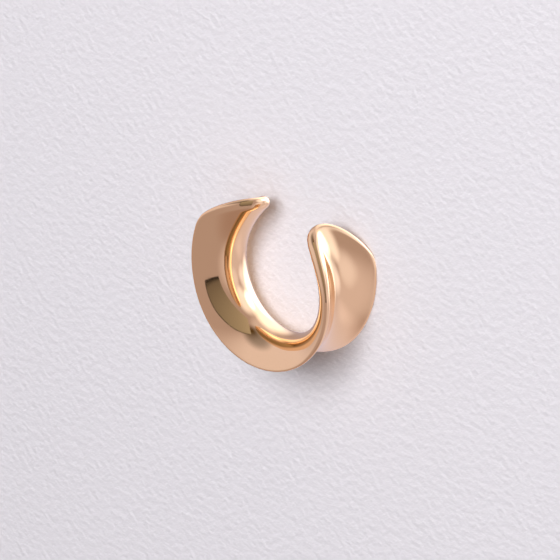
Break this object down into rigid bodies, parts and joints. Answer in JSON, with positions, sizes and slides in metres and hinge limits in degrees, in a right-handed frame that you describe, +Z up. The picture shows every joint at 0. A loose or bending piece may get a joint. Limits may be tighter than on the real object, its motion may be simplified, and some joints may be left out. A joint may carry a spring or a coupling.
{
  "type": "ear cuff",
  "caption": "Open C-shaped cuff in polished gold that clips over the edge of an ear, with an outward channel section and rounded, slanted ends.",
  "frame": {"origin": "on the surface that the cuff lies on, under the middle of its bounding box", "axes": "+Z up, along the ring's axis, with the cuff lying on its side; -Y towards the gap between the two ends"},
  "size_m": [0.0132, 0.0118, 0.0052],
  "materials": {
    "gold": "polished rose-tinted yellow gold"
  },
  "bodies": {
    "root": {"cuff_band": "gold"}
  },
  "joints": []
}
